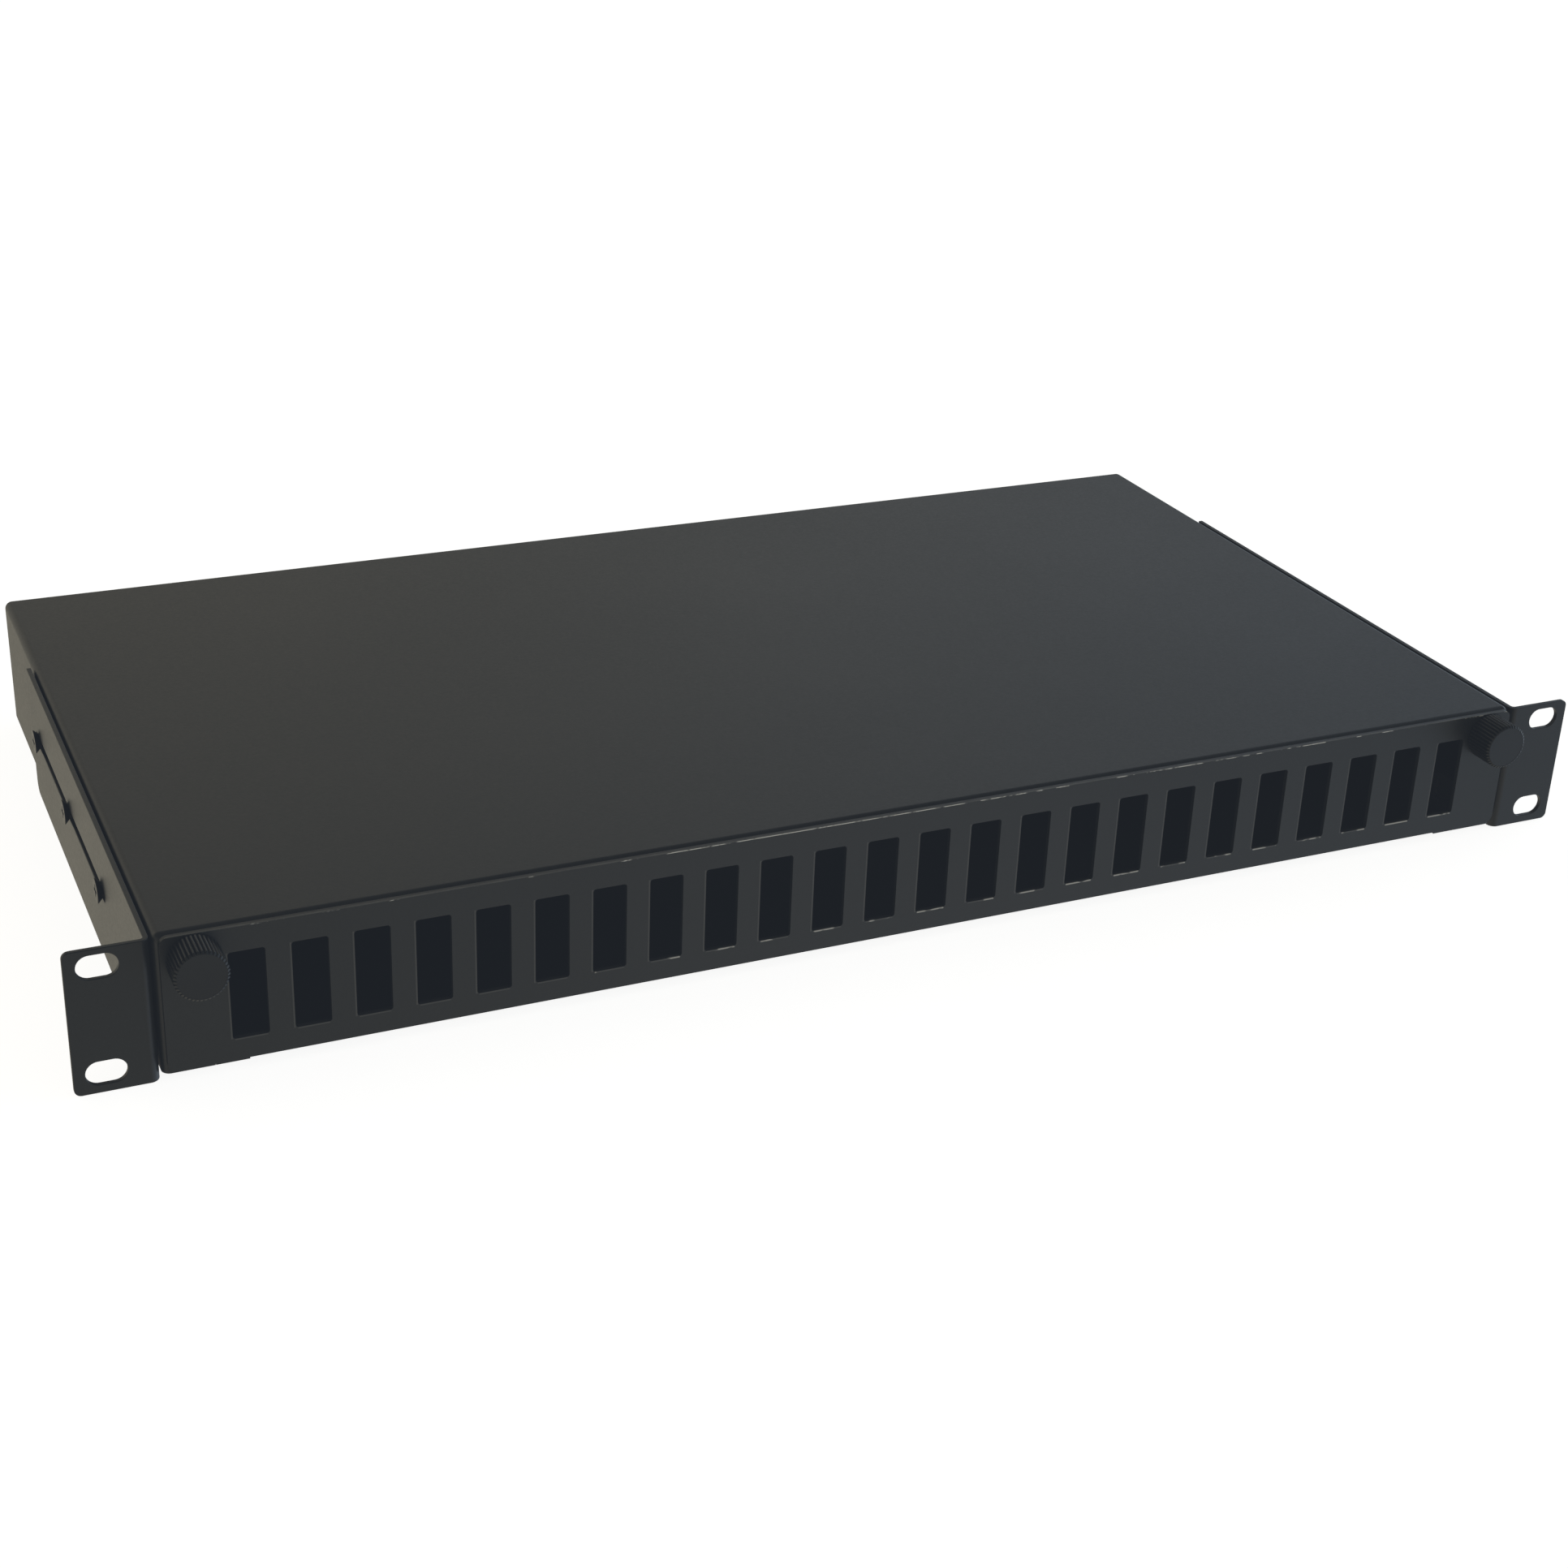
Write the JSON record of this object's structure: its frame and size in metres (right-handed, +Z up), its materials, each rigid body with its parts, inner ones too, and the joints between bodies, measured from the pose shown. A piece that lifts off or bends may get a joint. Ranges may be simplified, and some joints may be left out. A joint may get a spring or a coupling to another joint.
{
  "type": "fiber termination box",
  "caption": "Sliding rack-mount fibre termination box: steel casing with depth-adjustable ears, a pull-out ported drawer held by captive thumbscrews, and splice cassettes inside.",
  "frame": {"origin": "centre of the four rack slots, on the front plane of the ears", "axes": "+X to the right seen from the front, +Y to the rear, +Z up"},
  "size_m": [0.4826, 0.2782, 0.0436],
  "materials": {
    "powder_coat": "fine-textured matt powder coat, near black",
    "knob_black": "black anodised, satin, straight knurl",
    "zinc_steel": "zinc plated",
    "black_screw": "black oxide",
    "rail_alloy": "extruded, plain anodised",
    "ferrule_steel": "turned, nickel plated",
    "acetal": "natural acetal",
    "gland_plastic": "moulded polyamide, dark grey",
    "seal_rubber": "soft black rubber",
    "brass": "turned",
    "cassette_plastic": "light grey moulded",
    "lid_plastic": "smoked clear moulding",
    "holder_plastic": "blue moulded",
    "guide_plastic": "light moulded",
    "black_plastic": "moulded"
  },
  "bodies": {
    "casing": {"top_cover": "powder_coat", "base_plate": "powder_coat", "rear_cover_screws": "black_screw", "rear_press_nuts": "zinc_steel", "side_cover_screws": "black_screw", "side_press_nuts": "zinc_steel", "flange_weld_nuts": "zinc_steel", "bracket_slide_studs": "black_screw", "bracket_stud_nuts": "zinc_steel", "left_rail": "rail_alloy", "right_rail": "rail_alloy", "rail_rivets": "zinc_steel", "drawer_stops": "acetal", "gland_bodies": "gland_plastic", "gland_locknuts": "gland_plastic", "gland_gaskets": "seal_rubber", "gland_seals": "seal_rubber", "blanking_plugs": "black_plastic", "earth_stud": "brass", "earth_washer": "zinc_steel", "earth_nuts": "brass"},
    "drawer": {"drawer_tray": "powder_coat", "front_panel": "powder_coat", "panel_studs": "zinc_steel", "panel_stud_nuts": "zinc_steel", "left_runner": "acetal", "right_runner": "acetal", "runner_rivets": "zinc_steel", "thumbscrew_ferrules": "ferrule_steel", "lower_splice_cassette": "cassette_plastic", "upper_splice_cassette": "cassette_plastic", "cassette_lid": "lid_plastic", "cassette_posts": "zinc_steel", "cassette_wing_nuts": "black_plastic", "splice_holders": "holder_plastic", "fibre_bend_guides": "guide_plastic", "cable_tie_saddles": "black_plastic", "cable_clamp_feet": "black_plastic", "cable_clamp_bars": "black_plastic", "cable_clamp_screws": "zinc_steel"},
    "left_screw_washer": {"left_thumbscrew_washer": "zinc_steel"},
    "left_screw": {"left_thumbscrew": "knob_black"},
    "right_screw_washer": {"right_thumbscrew_washer": "zinc_steel"},
    "right_screw": {"right_thumbscrew": "knob_black"},
    "left_rack_bracket": {"left_bracket": "powder_coat"},
    "right_rack_bracket": {"right_bracket": "powder_coat"},
    "left_gland_slip_ring": {"left_gland_ring": "gland_plastic"},
    "left_gland_cap": {"left_gland_nut": "gland_plastic"},
    "right_gland_slip_ring": {"right_gland_ring": "gland_plastic"},
    "right_gland_cap": {"right_gland_nut": "gland_plastic"}
  },
  "joints": [
    {"name": "drawer_slide", "type": "slide", "parent": "casing", "child": "drawer", "axis": [0, -1, 0], "range_m": [0, 0.165]},
    {"name": "left_thumbscrew_travel", "type": "slide", "parent": "drawer", "child": "left_screw_washer", "axis": [0, -1, 0], "range_m": [0, 0.0048]},
    {"name": "left_thumbscrew_turn", "type": "hinge", "parent": "left_screw_washer", "child": "left_screw", "pos_m": [-0.2083, -0.0015, 0.0144], "axis": [0, -1, 0], "range_deg": [0, 2470]},
    {"name": "right_thumbscrew_travel", "type": "slide", "parent": "drawer", "child": "right_screw_washer", "axis": [0, -1, 0], "range_m": [0, 0.0048]},
    {"name": "right_thumbscrew_turn", "type": "hinge", "parent": "right_screw_washer", "child": "right_screw", "pos_m": [0.2083, -0.0015, 0.0144], "axis": [0, -1, 0], "range_deg": [0, 2470]},
    {"name": "left_bracket_slide", "type": "slide", "parent": "casing", "child": "left_rack_bracket", "axis": [0, -1, 0], "range_m": [-0.004, 0.004]},
    {"name": "right_bracket_slide", "type": "slide", "parent": "casing", "child": "right_rack_bracket", "axis": [0, -1, 0], "range_m": [-0.004, 0.004]},
    {"name": "left_gland_travel", "type": "slide", "parent": "casing", "child": "left_gland_slip_ring", "axis": [0, 1, 0], "range_m": [0, 0.003]},
    {"name": "left_gland_turn", "type": "hinge", "parent": "left_gland_slip_ring", "child": "left_gland_cap", "pos_m": [-0.17, 0.255, -0.0025], "axis": [0, 1, 0], "range_deg": [0, 720.5]},
    {"name": "right_gland_travel", "type": "slide", "parent": "casing", "child": "right_gland_slip_ring", "axis": [0, 1, 0], "range_m": [0, 0.003]},
    {"name": "right_gland_turn", "type": "hinge", "parent": "right_gland_slip_ring", "child": "right_gland_cap", "pos_m": [0.17, 0.255, -0.0025], "axis": [0, 1, 0], "range_deg": [0, 720.5]}
  ],
  "couplings": [
    {"joint": "left_thumbscrew_turn", "follows": "left_thumbscrew_travel", "rad_per_m": 8976},
    {"joint": "right_thumbscrew_turn", "follows": "right_thumbscrew_travel", "rad_per_m": 8976},
    {"joint": "left_gland_turn", "follows": "left_gland_travel", "rad_per_m": 4188.8},
    {"joint": "right_gland_turn", "follows": "right_gland_travel", "rad_per_m": 4188.8}
  ]
}
